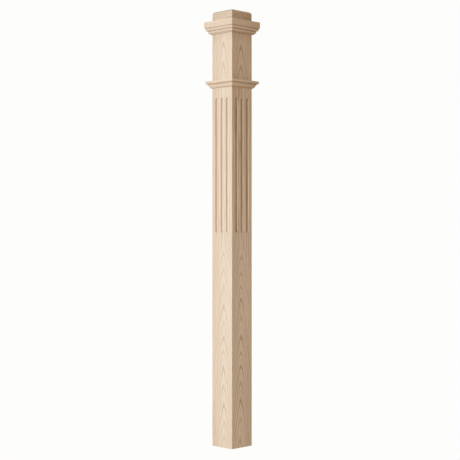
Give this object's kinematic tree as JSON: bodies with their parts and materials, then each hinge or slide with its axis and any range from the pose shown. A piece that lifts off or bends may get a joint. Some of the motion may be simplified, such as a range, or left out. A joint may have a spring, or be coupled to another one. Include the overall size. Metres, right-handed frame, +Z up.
{
  "type": "box newel post",
  "caption": "Square hollow oak newel post with stopped flutes, two mitred mouldings and a stepped flat cap.",
  "frame": {"origin": "middle of the shaft's footprint, on the surface that the post stands on", "axes": "+Z up along the shaft, -Y out of the front face, +X out of the right face"},
  "size_m": [0.1274, 0.1274, 1.394],
  "materials": {
    "board_oak": "bare, sanded",
    "moulding_oak": "bare, sanded",
    "cap_oak": "bare, sanded"
  },
  "bodies": {
    "root": {"shaft_board_front": "board_oak", "shaft_board_right": "board_oak", "shaft_board_back": "board_oak", "shaft_board_left": "board_oak", "neck_moulding_front": "moulding_oak", "neck_moulding_right": "moulding_oak", "neck_moulding_back": "moulding_oak", "neck_moulding_left": "moulding_oak", "cap_moulding_front": "moulding_oak", "cap_moulding_right": "moulding_oak", "cap_moulding_back": "moulding_oak", "cap_moulding_left": "moulding_oak", "cap_plate": "cap_oak", "cap_block": "cap_oak"}
  },
  "joints": []
}
